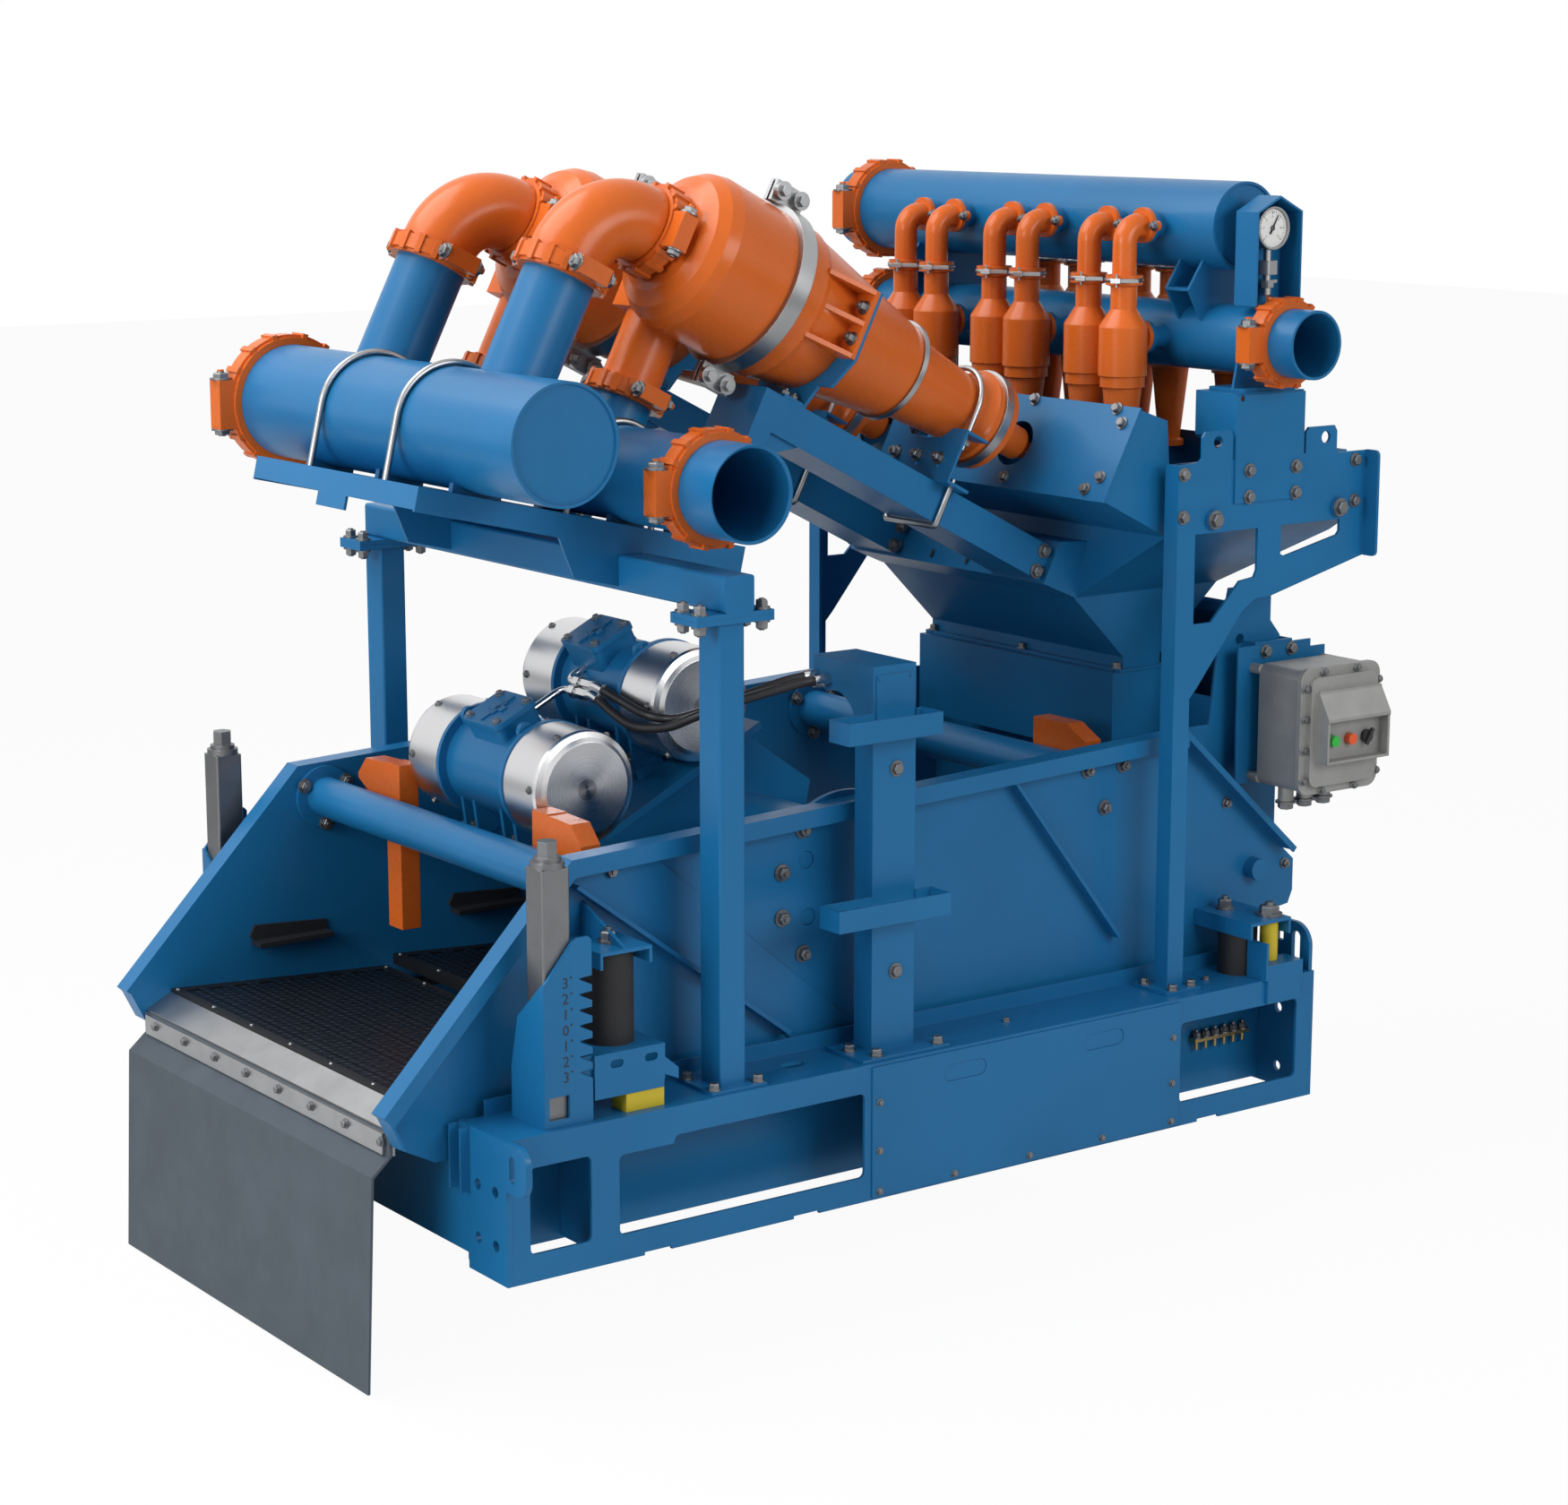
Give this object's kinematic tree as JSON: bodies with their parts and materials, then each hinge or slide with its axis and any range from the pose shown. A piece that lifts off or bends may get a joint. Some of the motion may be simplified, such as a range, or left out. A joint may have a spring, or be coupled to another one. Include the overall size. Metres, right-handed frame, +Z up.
{
  "type": "sieve hydrocyclone unit",
  "caption": "Vibrating mud-cleaning screen on a folded-plate base, with two sloping desander cyclones and an upright desilter bank above a hopper.",
  "frame": {"origin": "centre of the base frame's footprint, on its underside", "axes": "+Z up, +X from the discharge flap towards the feed box, +Y away from the control box side"},
  "size_m": [2.846, 1.816, 2.6022],
  "materials": {
    "blue_paint": "semi-gloss paint",
    "orange_paint": "semi-gloss paint",
    "grey_paint": "hammered grey paint",
    "black_paint": "satin black",
    "yellow_paint": "satin yellow",
    "zinc_steel": "galvanised",
    "steel": "brushed",
    "polished_steel": "polished",
    "brass": "plain",
    "black_screen": "dark woven wire",
    "rubber": "matt",
    "hose_rubber": "smooth black",
    "flap_rubber": "matt grey",
    "green_plastic": "gloss",
    "red_plastic": "gloss",
    "black_plastic": "matt"
  },
  "bodies": {
    "unit": {"base_side_near": "blue_paint", "base_side_far": "blue_paint", "base_front_plate": "blue_paint", "base_rear_plate": "blue_paint", "base_cross_members": "blue_paint", "base_cover_panels": "blue_paint", "earth_bar": "brass", "jack_legs": "zinc_steel", "jack_brackets": "blue_paint", "buffer_seats": "blue_paint", "rubber_buffers": "rubber", "buffer_brackets": "blue_paint", "shipping_spacers": "yellow_paint", "basket_side_near": "blue_paint", "basket_side_far": "blue_paint", "basket_stiffeners": "blue_paint", "cross_tubes": "blue_paint", "motor_beam": "blue_paint", "screen_panels": "black_screen", "hold_down_angles": "black_paint", "clamp_posts": "orange_paint", "discharge_lip": "steel", "discharge_flap": "flap_rubber", "feed_box": "blue_paint", "motor_bodies": "blue_paint", "motor_covers": "polished_steel", "hose_fittings": "steel", "motor_hoses": "hose_rubber", "cable_tower": "blue_paint", "portal_posts": "blue_paint", "portal_beam": "blue_paint", "header_tray": "blue_paint", "header_straps": "steel", "overflow_header": "blue_paint", "feed_header": "blue_paint", "risers": "blue_paint", "desander_elbows": "orange_paint", "desander_heads": "orange_paint", "desander_cones": "orange_paint", "cone_bands": "steel", "pipe_couplings": "orange_paint", "cone_saddles": "blue_paint", "cone_carriers": "blue_paint", "hopper": "blue_paint", "hopper_lid": "blue_paint", "chute": "blue_paint", "rear_frame_near": "blue_paint", "rear_frame_far": "blue_paint", "rear_frame_ties": "blue_paint", "desilter_headers": "blue_paint", "desilter_cones": "orange_paint", "desilter_elbows": "orange_paint", "gauge_guard": "blue_paint", "pressure_gauge": "steel", "control_bracket": "blue_paint", "control_box": "grey_paint"},
    "start_button": {"start_button": "green_plastic"},
    "stop_button": {"stop_button": "red_plastic"},
    "knob": {"switch_knob": "black_plastic"},
    "needle": {"gauge_needle": "black_paint"}
  },
  "joints": [
    {"name": "start_button_press", "type": "slide", "parent": "unit", "child": "start_button", "axis": [0, 1, 0], "range_m": [0, 0.004], "stiffness_N_per_m": 400, "springref_m": -0.004},
    {"name": "stop_button_press", "type": "slide", "parent": "unit", "child": "stop_button", "axis": [0, 1, 0], "range_m": [0, 0.004], "stiffness_N_per_m": 400, "springref_m": -0.004},
    {"name": "switch_turn", "type": "hinge", "parent": "unit", "child": "knob", "pos_m": [1.345, 0, 0.922], "axis": [0, 1, 0], "range_deg": [-60, 0]},
    {"name": "needle_swing", "type": "hinge", "parent": "unit", "child": "needle", "pos_m": [1.058, 0, 2.196], "axis": [0, 1, 0], "range_deg": [-75, 195]}
  ]
}
